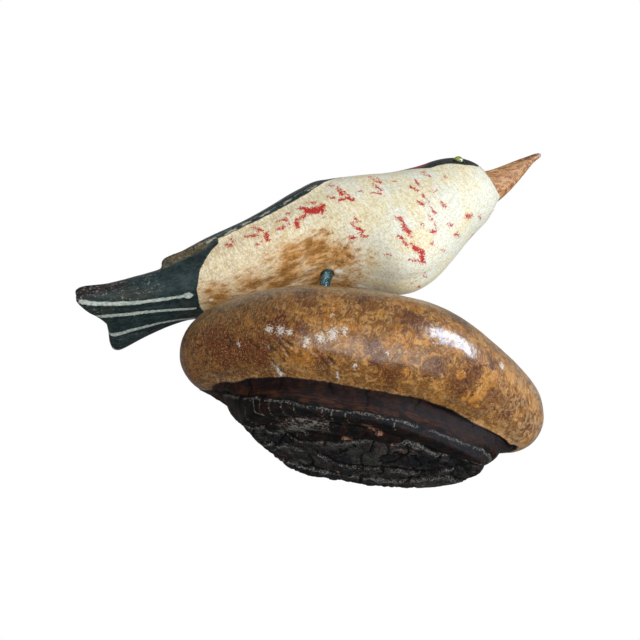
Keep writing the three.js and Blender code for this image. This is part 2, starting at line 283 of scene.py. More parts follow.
FISSURES = (  # on the lip, direction and height from one end to the other, and width, in degrees and mm
    (-146, 32, -144, 25, 0.6), (-144, 25, -142, 21, 0.5), (-134, 23, -130, 18.5, 0.7), (-113, 21.5, -110, 19, 0.7),
    (-75, 31, -73.5, 35, 0.4), (-65, 38, -63, 41, 0.4), (-48, 42, -44, 41, 0.7), (-46, 44, -42, 40.5, 0.6),
    (-160, 34, -155, 30, 0.4), (-20, 47, -13, 44, 0.4), (-126, 27, -122, 24, 0.5), (-58, 26, -52, 25, 0.5),
    (-139, 29, -135, 24, 0.5), (-131, 25, -127, 20, 0.5), (-149, 31, -146, 27, 0.4), (-128, 27, -124, 21, 0.6),
    (-115, 23, -112, 20, 0.5), (-110, 22, -107, 19.5, 0.5), (-70, 33, -66, 29, 0.4), (-32, 40, -27, 36, 0.5))
BAND_CRACKS = (-147, -132, -109, -91.5, -68, -41, -27)  # directions of the cracks across the band
RUST = (  # darker, redder places on the lip: direction, height, radius
    (-84, 19, 7), (-90, 23, 5), (-127, 32, 6), (-119, 31, 4), (-70, 25, 4), (-43, 24, 5), (-22, 29, 5), (-81, 44, 4),
    (-152, 33, 8), (-149, 27, 8), (-136, 22, 7), (-133, 26, 5), (-73, 24.5, 3.5), (-25, 30, 7), (-36, 29, 7),
    (-57, 23, 6), (-83, 43, 6), (-100, 50, 5), (-94, 27, 4), (-112, 20, 5), (-44, 28, 6), (-56, 31, 6),
    (-120, 52, 7), (-10, 50, 8), (-168, 45, 8), (-64, 55, 6), (-50, 40, 3), (-12, 33, 7), (-141, 25, 6))
SCUFFS = (  # places where paint or wear shows white on the lip: direction, height, radius
    (-130, 31, 2.2), (-126, 30, 2.6), (-123, 29, 1.8), (-112, 27.5, 2.6), (-108, 29.5, 3.6), (-104, 31, 2.4),
    (-117, 26, 2.2), (-118, 24.5, 1.2), (-99, 19.6, 1.2), (-106, 17.4, 1.2), (-131, 18.2, 2.2), (-142, 27, 1.2),
    (-109, 38, 1.2), (-45, 42.5, 2.4), (-15, 38, 1.6), (-88, 25, 1.4))
SCRATCHES = (  # pale scratches down the crust, as x and y from one end to the other
    (-52.5, -12.6, -44.1, -12.1), (-43, -18.9, -37, -8.5), (-38.2, -21.8, -31.1, -12.5), (-32.7, -24.3, -25.8, -13),
    (-20.5, -27.3, -14.5, -13.5), (-9.9, -27.8, -5.7, -22), (-47.8, -15.6, -42.1, -11.1), (-27.6, -8.4, -22.7, -0.9),
    (11.5, -30.5, 13.6, -26), (-63.5, -7.8, -61.1, -6), (-57.4, -12.9, -53.6, -12.7), (-36, -17, -28, -9),
    (-16, -27, -13, -19), (-55, -6, -47, -3))
CHIPS = (  # bare pinkish wood on the underside: x, y, radius
    (0.5, -24.5, 2.2), (4, -21.5, 2.6), (7.7, -19, 1.6), (-5.2, -7.5, 2.4), (15.4, -12, 1.8), (21.1, -6, 1.6),
    (-9, -20, 1.5), (-4, 26, 1.6), (26, -11, 1.3), (55, -9, 1.4))


def shaped_copy(node, name, hole_radius, grain, passes):
    """A smooth copy of a CAD solid, as an even fine mesh. The rim of its upright hole for the rod stays sharp."""
    bpy.ops.object.select_all(action="DESELECT")
    copy = bpy.data.objects.new(name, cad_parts[node].data.copy())
    bpy.context.scene.collection.objects.link(copy)
    copy.data.materials.clear()
    copy.select_set(True)
    bpy.context.view_layer.objects.active = copy
    bpy.ops.object.mode_set(mode="EDIT")
    bpy.ops.mesh.select_all(action="SELECT")
    bpy.ops.mesh.remove_doubles(threshold=1e-6)
    bpy.ops.mesh.tris_convert_to_quads(face_threshold=SHARP, shape_threshold=SKEWED)
    bpy.ops.object.mode_set(mode="OBJECT")
    shell = bmesh.new()
    shell.from_mesh(copy.data)
    crease = shell.edges.layers.float.new("crease_edge")
    for edge in shell.edges:
        in_rim = all((end.co - rod_at).xy.length < hole_radius for end in edge.verts)
        if in_rim and edge.calc_face_angle(0) > SHARP:
            edge[crease] = 1
    shell.to_mesh(copy.data)
    shell.free()
    apply_modifier(copy, "SUBSURF", levels=2, render_levels=2)
    apply_modifier(copy, "REMESH", mode="VOXEL", voxel_size=grain)
    apply_modifier(copy, "SMOOTH", factor=0.5, iterations=passes)
    return copy


def apply_modifier(piece, kind, **settings):
    bpy.context.view_layer.objects.active = piece
    modifier = piece.modifiers.new(kind.lower(), kind)
    for key, value in settings.items():
        setattr(modifier, key, value)
    bpy.ops.object.modifier_apply(modifier=modifier.name)


def points(piece, what="co"):
    """The places or normals of a piece's points, places in millimetres."""
    flat = np.zeros(len(piece.data.vertices) * 3, np.float32)
    if what == "co":
        piece.data.vertices.foreach_get("co", flat)
        return flat.reshape(-1, 3).astype(float) * 1000
    piece.data.vertex_normals.foreach_get("vector", flat)
    return flat.reshape(-1, 3).astype(float)


def place_points(piece, places, node):
    """Moves a piece's points, in millimetres, and keeps them in the box of the CAD node."""
    low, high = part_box(node)
    inside_box = np.clip(places / 1000, np.array(low), np.array(high))
    piece.data.vertices.foreach_set("co", inside_box.astype(np.float32).ravel())
    piece.data.update()


def keep(piece, **values):
    """Keeps values at each point of the mesh for the material."""
    for name, value in values.items():
        attribute = piece.data.attributes.new(name, "FLOAT", "POINT")
        attribute.data.foreach_set("value", np.ascontiguousarray(value, np.float32))


def smooth(value, low, high):
    """0 where the value is under low, 1 where it is over high, and smooth between them."""
    t = np.clip((value - low) / (high - low), 0, 1)
    return t * t * (3 - 2 * t)


def fall(value, low, high):
    """The opposite: 1 where the value is under low and 0 where it is over high."""
    return 1 - smooth(value, low, high)


def hump(value, middle, width):
    """1 at the middle, and smoothly down to nothing at about twice the width from it."""
    return np.exp(-((value - middle) / width) ** 2)


def highest(values, floor=0.0):
    """The highest of the values at each point, and no less than the floor."""
    return functools.reduce(np.maximum, values, floor)


def clouds(places, size, octaves=3, seed=0.0):
    """Smooth noise from about -1 to 1 at each place."""
    at = places / size + seed
    return np.array([noise.fractal(Vector(p), 1.0, 2.0, octaves) for p in at])


def from_table(value, table, column=1):
    """Looks each value up in a table's first column, and reads another column there, also between the rows."""
    rows = np.array(table)
    return np.interp(value, rows[:, 0], rows[:, column])


def to_line(x, y, x1, y1, x2, y2):
    """Distance from each point to a stroke from x1, y1 to x2, y2."""
    along = np.clip(((x - x1) * (x2 - x1) + (y - y1) * (y2 - y1)) / ((x2 - x1) ** 2 + (y2 - y1) ** 2 + 1e-9), 0, 1)
    return np.hypot(x - x1 - along * (x2 - x1), y - y1 - along * (y2 - y1))


def strokes(lines):
    """The straight strokes of some drawn lines, each as x1, y1, x2, y2."""
    return [(*start, *end) for line in lines for start, end in zip(line, line[1:])]


rod_low, rod_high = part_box("threaded_rod")
rod_at = (rod_low + rod_high) / 2
rod_x, rod_y = rod_at.x * 1000, rod_at.y * 1000
fungus = shaped_copy("fungus_base", "bracket_fungus", FUNGUS_RIM, FUNGUS_GRAIN, 6)

p = points(fungus)
out = points(fungus, "normal")
x, y, z = p.T
turn = np.degrees(np.arctan2(y - GROWTH_Y, x))
reach = np.hypot(x, y - GROWTH_Y)
back = smooth(np.sin(np.radians(turn)), -0.12, 0.2)
front = 1 - back
warp = clouds(p, 9, 3, 3.1)
grit = clouds(p, 3.2, 3, 5.0)
rise = z - from_table(turn, LIP_EDGE) + 0.35 * warp + 0.08 * grit
inside = from_table(turn, LIP_EDGE, 2) - reach
shelf = smooth(z, *SHELF_START) * smooth(out[:, 2], 0.7, 0.95)
lip = smooth(rise, -1.0, 0.5)

# Old growth layers show on the underside. Each stands proud at its front edge, which is broken and crumbly. The
# number before each feature of a lift or a sink is its depth in mm.
under = smooth(-out[:, 2], 0.25, 0.7) * smooth(UNDERSIDE_TOP - z, 0, 6) * smooth(inside, -6, 2)
layer = np.zeros(len(p))
edge_before = -30.0
for edge in LAYERS:
    edge_now = from_table(x, edge)
    layer += np.clip((y + 1.1 * warp + 0.7 * grit - edge_before) / (edge_now - edge_before), 0, 1)
    edge_before = edge_now
step = layer % 1
number = np.floor(layer)
wavy_x, wavy_y = x + 0.9 * warp + 0.5 * grit, y + 0.6 * grit
gap = functools.reduce(np.minimum, (to_line(wavy_x, wavy_y, *stroke) for stroke in strokes(CRACKS)))
blocks = np.full(len(p), 9.0)
tone = np.zeros(len(p))
for i in np.nonzero((under > 0) | (rise < 0))[0]:
    at = Vector((x[i] / 10 + 0.25 * warp[i], (y[i] + 3 * number[i]) / 8 + 0.25 * grit[i], z[i] / 9))
    near, second = noise.voronoi(at)[1][:2]
    across = (second - near).normalized()
    blocks[i] = abs((at - (near + second) / 2).dot(across)) * 9
    tone[i] = (math.sin(near.x * 12.9898 + near.y * 78.233) * 43758.5453) % 1  # by chance, but the same each run
broken = smooth(clouds(p, 13, 2, 1.3), -0.05, 0.25)
crack = np.maximum(fall(gap, 0.25, 0.75), fall(blocks, 0.15, 0.6) * broken * smooth(layer, 0.9, 1.2))
crevice = fall(np.where(step > 0.5, 1 - step, 9), 0.02, 0.10) * smooth(layer, 0.3, 0.8)
rim = fall(step, 0.02, 0.16) * smooth(layer, 0.9, 1.0)
fine_layers = 0.5 + 0.5 * np.sin(layer * 26 + 2.2 * warp + 1.5 * grit)
deep = smooth(layer, 0.9, 1.05)
lift = under * (deep * (0.25 + 1.5 * step + 0.45 * tone * smooth(blocks, 0.2, 1.0) * broken)
                + 1.3 * crevice + 1.0 * crack + 0.35 * fine_layers * smooth(layer, 0.7, 1.1)
                + 0.40 * np.abs(grit) * (0.35 + 0.65 * deep) + 0.30 * np.abs(warp) * (1 - deep))
lift *= smooth(reach, 2, 10) * (1 - 0.6 * smooth(layer, 2.9, 3.2))

# The crust between the foot and the lip: a smooth band above, a broken ledge, and glossy black below it.
wall = (1 - lip) * (1 - under)
ledge = z - from_table(turn, LEDGE) + 0.7 * clouds(p, 7, 2, 2.2) + 0.35 * grit
ledge_cut = hump(ledge, -0.3, 0.7) * (0.7 + 0.5 * warp)
band_crack = np.zeros(len(p))
for i, crack_turn in enumerate(BAND_CRACKS):
    wander = np.radians(turn - crack_turn) * reach + 0.7 * np.sin(z * 0.8 + i) + 0.8 * grit
    reaches = smooth(rise + 9 - 5 * ((i * 0.37) % 1), -1, 1)
    band_crack = np.maximum(band_crack, fall(np.abs(wander), 0.15, 0.7) * reaches)
band_crack *= smooth(ledge, -1.5, 0.5)
seam = hump(rise, -0.9, 0.7) * (0.2 + 0.8 * smooth(turn, -75, -50)) * smooth(-5 - turn, 0, 12)
chunky = smooth(-ledge, 0, 1.5) * (0.25 + 0.35 * np.abs(warp) + 0.25 * np.abs(grit))
wall_in = wall * front * (LEDGE_DEPTH * ledge_cut + 0.6 * band_crack + 1.3 * seam + chunky + 0.1 * np.abs(grit))
scales = 0.8 * np.abs(clouds(p * (1, 1, 0.35), 5, 4, 9.0)) + 0.5 * fall(blocks, 0.2, 1)
scaly_back = (1 - lip) * back * scales

# The lip is smooth and a little lumpy, with a few dry fissures.
fissure = highest(
    fall(to_line(turn * LIP_STRETCH, z, a1 * LIP_STRETCH, z1, a2 * LIP_STRETCH, z2) + 0.9 * grit + 0.5 * warp,
         width * 0.1, width * 1.6)
    for a1, z1, a2, z2, width in FISSURES) * lip * front
lumps = 0.30 * (1 + clouds(p, 17, 2, 4.4)) + 0.12 * np.abs(clouds(p, 4, 2, 6.1))
fuller = 0.75 + 0.9 * smooth(turn, -40, -15) * smooth(50 - z, 0, 15)
lip_in = lip * (1 - shelf) * (lumps - fuller + 0.35 * fissure) + shelf * 0.12 * (1 + clouds(p, 12, 2, 8.8))
from_rod = smooth(np.hypot(x - rod_x, y - rod_y), *FUNGUS_HOLE)

# The foot and the lip's left end are filled out to the outline in the photograph.
moved = p - out * ((wall_in + scaly_back + lip_in) * from_rod)[:, None]
fuller_foot = 1.7 * hump(turn, -142, 20) * fall(z, 8, 14) + 2.2 * hump(turn, -24, 13) * (1 - lip)
moved[:, 0] += fuller_foot * np.cos(np.radians(turn))
moved[:, 1] += fuller_foot * np.sin(np.radians(turn))
moved[:, 2] += lift + 2.6 * hump(reach, 72, 7) * hump(turn, -170, 13) * fall(z, 24, 30)
place_points(fungus, moved, "fungus_base")


def lip_spots(spots):
    """Round spots on the lip, each 1 in its middle."""
    return front * highest(
        hump(turn * SPOT_STRETCH, a * SPOT_STRETCH, radius) * hump(z, height, radius) for a, height, radius in spots)


scratch = highest(fall(to_line(x + 0.3 * grit, y, *scored), 0.0, 0.62) for scored in SCRATCHES)
chip = highest(
    hump(x * CHIP_WIDTH, chip_x * CHIP_WIDTH, size) * hump(y, chip_y, size) for chip_x, chip_y, size in CHIPS)
worn = smooth(clouds(p, 10, 3, 7.7), -0.55, -0.15)
# The hollow and seam values place painted shade: in the crevices and cracks of the crust, under the ledge, and in the
# groove under the lip's overhang.
keep(fungus, rise=rise, ledge=ledge, under=under, tone=tone, deep=deep,
     rim=worn * np.maximum(rim * under, 1.1 * wall * front * hump(ledge, -1.7, 0.9)),
     hollow=np.maximum.reduce([crevice * under, crack * under, wall * ledge_cut]),
     fissure=fissure, seam=seam * wall + band_crack * wall * front,
     rust=lip_spots(RUST), scuff=lip_spots(SCUFFS),
     scratch=scratch * fall(ledge, -2.0, -0.8), chip=chip * (1 - lip),
     aged=smooth(-turn, 98, 148) * smooth(62 - z, 0, 20) * front, left=smooth(-turn, 95, 150) * front,
     grazed=hump(turn, -128, 20) * hump(reach, 43, 8) * (1 - lip), back=back * (1 - under), shelf=shelf)
bpy.ops.object.shade_smooth()

conk = Finish("varnished fungus", **{"Coat Roughness": 0.19, "Specular IOR Level": 0.12})
at = conk.place()
along_x, _, up = conk.apart(at)
lip_rise, on_shelf, aged, left, rusty = conk.kept("rise", "shelf", "aged", "left", "rust")
above_ledge, beneath, layered, behind = conk.kept("ledge", "under", "deep", "back")
fibre = conk.cloud(at, 0.9, 4, 0.7, stretch=(1, 1, 0.14))
hair = conk.cloud(conk.place((9, 4, 2), (0.0, 0.3, 0.0)), 0.55, 3, 0.6, stretch=(1, 1, 0.14))
fine = conk.cloud(at, 1.5, 5, 0.7)
middle = conk.cloud(at, 7, 6, 0.66, 0.6)
broad = conk.cloud(at, 19, 6, 0.6, 0.8)
curl = conk.cloud(at, 5.5, 6, 0.68, 1.6)
patch = conk.cloud(conk.place((5, 2, 7)), 3.4, 5, 0.66, 1.0)
flecks = conk.cloud(conk.place((3, 8, 1)), 0.9, 5, 0.8)

# The lip: amber varnish over mottled browns, darker at the lower left end, partly with age and partly as painted
# shade, and greyer at the top as a painted sheen.
lip_colour = conk.coats(
    conk.blend(broad, 0.46, 0.56, "7c5122", "a86c1e"),
    ("c98f45", middle, 0.50, 0.58, 0.70),
    ("643a10", curl, 0.485, 0.60, 0.70),
    ("704012", 1 - middle, 0.53, 0.63, 0.55),
    ("d2a365", patch, 0.52, 0.60, 0.55))
# The lower left end of the lip is darker: partly age, partly painted shade where the light falls off.
lip_colour = conk.mix(aged * 0.80, lip_colour, conk.blend(curl, 0.44, 0.57, "68401a", "2f1808"))
redder = rusty * 0.215 + curl * 0.55 + middle * 0.35 + patch * 0.25
lip_colour = conk.coats(lip_colour, ("522409", redder, 0.635, 0.730, 0.85))
# Painted sheen: the top of the lip, reaching lower at the left, is greyed as if it reflected the grey surroundings at
# a grazing angle.
grazing_sheen = conk.ramp(up + (middle - 0.5) * 26 + left * 13, 46, 66)
grazing_sheen_colour = conk.mix(left, conk.blend(fine, 0.42, 0.6, "5e4a2c", "ab9063"),
                       conk.blend(fine, 0.42, 0.6, "453620", "83693f"))
lip_colour = conk.mix(grazing_sheen * 0.75, lip_colour, grazing_sheen_colour)
skirt = 1 - conk.ramp(lip_rise - (middle - 0.5) * 12, 0.3, 3.2)
lip_colour = conk.mix(skirt * (0.38 + left * 0.25), lip_colour, conk.blend(fine, 0.42, 0.6, "60421f", "ad8a60"))
paler = conk.ramp(along_x + (middle - 0.5) * 60, 45, 85) * conk.ramp(patch, 0.44, 0.56)
lip_colour = conk.coats(
    conk.mix(paler * 0.6, lip_colour, "c9a06c"),
    ("d6b17d", fine, 0.58, 0.66, 0.18),
    ("3e1f08", 1 - fine, 0.58, 0.66, 0.28))
lip_colour = conk.shade(lip_colour, 0.78 + conk.ramp(fibre, 0.42, 0.58) * (0.27 + aged * 0.28))
white_scuff = conk.ramp(conk.kept("scuff")[0] * 0.24 + flecks, 0.64, 0.71)
lip_colour = conk.coats(lip_colour, ("c8a374", hair, 0.55, 0.61, 0.28 + aged * 0.12))
lip_colour = conk.mix(white_scuff * 0.80, lip_colour, "dcd7cd")
lip_colour = conk.coats(lip_colour, ("2c1407", conk.kept("fissure")[0] * 0.7 + flecks * 0.9, 0.86, 1.05, 0.70))

# The shelf: the pore face, with its growth rings.
from_x, from_y, _ = conk.apart(conk.place((0, GROWTH_Y * 0.001, 0)))
ring = conk.from_middle(from_x, from_y) * 0.75 + middle * 9
pores = conk.node("TexVoronoi", {}, {"Vector": at, "Scale": 1 / PORE})
shelf_colour = conk.mix(middle, "a58352", "bf9c6c")
shelf_colour = conk.shade(shelf_colour, 0.80 + conk.ramp(pores, 0.05, 0.45) * 0.25 + ring.math("SINE", ring) * 0.09)
shelf_colour = conk.coats(shelf_colour, ("6b4b28", curl, 0.52, 0.62, 0.45))
lip_colour = conk.mix(on_shelf * 0.85, lip_colour, shelf_colour)

# The band of younger crust under the lip: dark, faintly layered, redder toward the ledge.
strata = conk.cloud(at, 1.4, 4, 0.65, stretch=(0.25, 0.25, 1.8))
near_ledge = 1 - conk.ramp(above_ledge - (fine - 0.5) * 5, 1.0, 5.5)
reddish = near_ledge * conk.ramp(strata * 0.6 + middle * 0.4, 0.44, 0.56) * 0.60
band_colour = conk.mix(reddish, conk.blend(middle, 0.44, 0.56, "1a1011", "2d1a14"), "4a2810")
# Painted shade: the band is darkened toward the right, to hold down the window light's sheen there.
band_shade_right = 1 - conk.ramp(along_x, 0, 60) * 0.35
band_colour = conk.shade(band_colour, (conk.ramp(strata, 0.38, 0.62) * 0.6 + 0.25 + fine * 0.55) * band_shade_right)
band_colour = conk.coats(band_colour, ("8d7a68", flecks, 0.66, 0.76, 0.35))

# The old crust: glossy black by the ledge, grey crumbling layers below, pinkish where it is chipped, with near-black
# painted shade in its crevices, its cracks and under the ledge.
gloss = conk.blend(middle, 0.46, 0.58, "050506", "1c0e09")
layer_grey = conk.blend(conk.kept("tone")[0] * 0.25 + fine * 0.75, 0.38, 0.72, "15171a", "43423f")
layer_grey = conk.coats(layer_grey, ("38241a", middle, 0.52, 0.68, 0.5))
crust_colour = conk.mix(layered * beneath, gloss, layer_grey)
hatch = conk.cloud(at, 0.9, 4, 0.7, stretch=(1.3, 0.30, 0.30))
bedding = conk.cloud(at, 1.0, 5, 0.72, stretch=(0.3, 1.3, 1.3))
crumb = conk.cloud(conk.place((1, 5, 9)), 0.8, 5, 0.8)
drag = conk.cloud(at, 1.3, 5, 0.75, stretch=(0.35, 1, 1))
lit = 0.30 + conk.ramp(hatch, 0.38, 0.62) * 0.6 + conk.ramp(bedding, 0.40, 0.60) * 0.8
crust_colour = conk.shade(crust_colour, lit)
edge, grazed, chipped, hollow, scratched, overhang_shadow_and_cracks = conk.kept("rim", "grazed", "chip", "hollow", "scratch", "seam")
scored = conk.ramp(scratched + (flecks - 0.5) * 2.6, 0.45, 0.95)
crust_colour = conk.coats(
    crust_colour,
    (conk.blend(crumb, 0.45, 0.6, "504c49", "8a8580"), edge * 0.14 + crumb * 0.65 + bedding * 0.35, 0.59, 0.675, 0.80),
    ("66635c", crumb * 0.5 + bedding * 0.5, 0.545, 0.62, layered * 0.4),
    ("8a8680", grazed * 0.13 + drag * 0.5 + crumb * 0.5, 0.585, 0.66, 0.70),
    (conk.blend(fine, 0.42, 0.58, "7d4c38", "b58a76"), chipped * 0.26 + patch * 0.4 + crumb * 0.6, 0.64, 0.72, 0.8),
    # Painted shade: near-black in the crevices in front of the layers, in the cracks and under the ledge.
    ("050405", hollow + (fine - 0.5) * 0.4, 0.35, 0.7, 0.92))
crust_colour = conk.mix(scored * 0.50, crust_colour, "a1978a")
band_colour = conk.mix(scored * 0.5, band_colour, "a79c8d")
on_band = conk.ramp(above_ledge + (fine - 0.5) * 2, -0.3, 0.5) * (1 - beneath)
crust_colour = conk.mix(on_band, crust_colour, band_colour)
bark = conk.blend(conk.cloud(at, 3.0, 5, 0.7, stretch=(1, 1, 0.3)), 0.35, 0.65, "2a1d14", "5d4630")
crust_colour = conk.mix(behind * 0.9, crust_colour, bark)
# Painted shadow: near-black in the groove under the lip's overhang. The cracks across the band are dark too.
crust_colour = conk.coats(crust_colour, ("050304", overhang_shadow_and_cracks, 0.25, 0.6, 0.95))

on_lip = conk.ramp(lip_rise + (fine - 0.5) * 0.9, -0.5, 0.3)
skin = conk.mix(on_lip, crust_colour, lip_colour)
dull = conk.cloud(at, 9, 5, 0.65)
lip_rough = 0.30 + conk.ramp(dull, 0.4, 0.7) * 0.18 + white_scuff * 0.3 + on_shelf * 0.2 + aged * 0.1
crust_rough = 0.52 + beneath * layered * 0.2 + behind * 0.15
skin_rough = on_lip * lip_rough + (1 - on_lip) * crust_rough
relief = fibre * 0.30 + fine * 0.45 + hair * 0.15 + (1 - on_lip) * (hatch * 0.7 + fine * 0.7 + bedding * 1.4)
crazed = 0.45 + conk.ramp(fine * 0.5 + curl * 0.5, 0.44, 0.52) * 0.55
# The varnish coat is thinner at the lower left end and under the painted sheen at the top.
varnish = on_lip * (1 - on_shelf) * (1 - aged * 0.45 - grazing_sheen * 0.45) * crazed
fungus.data.materials.append(conk.finished(skin, skin_rough, relief, FUNGUS_BUMP, **{"Coat Weight": varnish}))
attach(fungus, "root")
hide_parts("fungus_base")


# The rod is quarter-inch threaded steel, zinc plated and gone bluish. It stands in the fungus and runs up into the
# belly. Its thread is one profile wound up the rod and cut off flat at both ends.
THREAD_PITCH = 1.27  # mm
CREST = 3.155  # radius of the thread's crest and of its root
ROOT = 2.555
THREAD_PROFILE = (  # steps outward and upward, from one root to the next
    (0, 0.12), (CREST - ROOT, 0.44), (0, 0.15), (ROOT - CREST, 0.44), (0, 0.12))
ROD_STEPS = 28
END_TRIM = 0.05  # the cut ends are this far inside the solid's
SAME_POINT = 2e-6  # m

bottom = rod_low.z * 1000
top = rod_high.z * 1000
bpy.ops.object.select_all(action="DESELECT")
bpy.ops.mesh.primitive_plane_add(size=0.001, location=(0, 0, 0))
rod = bpy.context.object
rod.name = "zinc_plated_rod"
bpy.ops.object.mode_set(mode="EDIT")
bpy.ops.mesh.merge(type="CENTER")
bpy.ops.transform.translate(value=(ROOT / 1000, 0, -THREAD_PITCH / 1000))
for outward, upward in THREAD_PROFILE:
    bpy.ops.mesh.extrude_vertices_move(TRANSFORM_OT_translate={"value": (outward / 1000, 0, upward / 1000)})
bpy.ops.object.mode_set(mode="OBJECT")
apply_modifier(rod, "SCREW", angle=2 * math.pi, screw_offset=THREAD_PITCH / 1000, steps=ROD_STEPS,
               render_steps=ROD_STEPS, iterations=int((top - bottom) / THREAD_PITCH) + 3, use_merge_vertices=True,
               merge_threshold=SAME_POINT)
rod.data.transform(Matrix.Translation((rod_at.x, rod_at.y, bottom / 1000)))
bpy.ops.object.mode_set(mode="EDIT")
bpy.ops.mesh.select_all(action="SELECT")
bpy.ops.mesh.remove_doubles(threshold=SAME_POINT)
for height, away in ((bottom + END_TRIM, -1), (top - END_TRIM, 1)):
    bpy.ops.mesh.select_all(action="SELECT")
    bpy.ops.mesh.bisect(plane_co=(0, 0, height / 1000), plane_no=(0, 0, away), use_fill=True, clear_outer=True,
                        threshold=1e-7)
bpy.ops.mesh.select_all(action="SELECT")
bpy.ops.mesh.normals_make_consistent(inside=False)
bpy.ops.object.mode_set(mode="OBJECT")
bpy.ops.object.shade_smooth_by_angle(angle=math.radians(35))

zinc = Finish("zinc plated steel", Metallic=1.0)
at = zinc.place()
bloom = zinc.cloud(at, 2.2, 4, 0.65)
grime = zinc.ramp(zinc.cloud(at, 1.1, 3, 0.6), 0.55, 0.72)
zinc_colour = zinc.mix(grime * 0.5, zinc.blend(bloom, 0.42, 0.58, "4a8ba4", "aacfdc"), "2b2c28")
rod.data.materials.append(zinc.finished(zinc_colour, 0.14 + bloom * 0.16 + grime * 0.3, bloom, 0.05))
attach(rod, "root")
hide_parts("threaded_rod")


# The bird is carved from one block of soft wood, tail and bill included, with the folded wings left standing as
# raised panels. It is painted in oils: white below, slate above, with dabs of red over the breast and flanks.
BIRD_GRAIN = 0.00086  # m, size of the relief mesh
BIRD_RIM = 0.0044  # m, reach of the rod hole's rim
BIRD_HOLE = 4.2, 6.0  # mm from the rod's axis, the relief fades out between these
PAINT_BUMP = 0.30  # mm, depth of the brush marks
TAIL_START = -82, -74  # mm along the bird, the body turns into the tail between these
BILL_START = 123.8  # mm along the bird
BILL_TIP = 171
EYE_RING = 4.6  # mm, reach of the paint round an eye
OUTSIDE = -9.0  # the value of a mark well away from it
BIRD_AT = Vector((-0.032, -0.003, 0.107))  # where the rod enters the belly
BIRD_TURN = (0, math.radians(-29), math.radians(-15))
WIDEST = (  # distance along the body from the rod, and height of the widest line above the rod's entry
    (-137, 21.5), (-112, 23), (-92, 25), (-76, 26), (-60, 26), (-40, 27), (-20, 28), (0, 30), (20, 30), (40, 26),
    (60, 23), (80, 26), (95, 31), (108, 33), (122, 33), (135, 36), (150, 41), (170, 47))
WHITE_END = (  # direction around the body, and how far back the white of the belly reaches
    (-90, -75.3), (-57, -73.8), (-27, -68.6), (-12, -63), (-2, -58.7), (4, -53.6), (90, -50))
DARK_EDGE = (  # distance along the body, and the direction above which it is dark
    (-140, 8.5), (-60, 8.5), (-20, 8), (4, 8), (14, 11), (22, 19), (32, 29), (50, 36), (62, 34), (69, 26), (76, 20),
    (79, 16), (82, 12.6), (87, 12), (93, 8.4), (98, 3), (103, -3), (108, -7), (113, -7), (117, 6), (119, 30),
    (121, 70), (124, 95))
STRIPES = (  # cream lines on the tail's underside: distance along, distance to the left, and half width
    ((-134.4, -21.4), (-128.5, -18.4), (-121.7, -16), (-113.6, -13.5), (-105.6, -11.4), (-97.8, -10),
     (-92.1, -9.1), (-85.2, -8.5), (-77.8, -8.5)),
    ((-130.4, -9.4), (-123.2, -7.6), (-114.7, -5.9), (-107.1, -4.8), (-99.9, -3.3), (-89.3, -0.9), (-78.1, 1.1)),
    ((-129, 7.8), (-123, 7.9), (-115.7, 6.9), (-108, 6.8), (-101, 7), (-91.3, 8.7), (-81.1, 11.2)))
BARS = (  # pale edges of the folded wing feathers: distance along, height, length
    (-45.2, 31.6, 7), (-34.7, 32.9, 5), (-22.9, 33.9, 6), (-8.6, 35.6, 4), (7.6, 36.9, 5), (-57, 31.2, 5))
FEATHER_ROWS = (  # rows of quills on the wing: degrees above the wing's edge, and where they start and end along it
    (4.5, -70, 12), (17, -80, -10), (29, -84, -24), (41, -86, -38))
PAINT_CHIPS = (  # distance along, direction, radius
    (6.8, -86, 2.2), (18.4, -107, 2.6), (24, -92, 1.5), (-68, -80, 1.4))
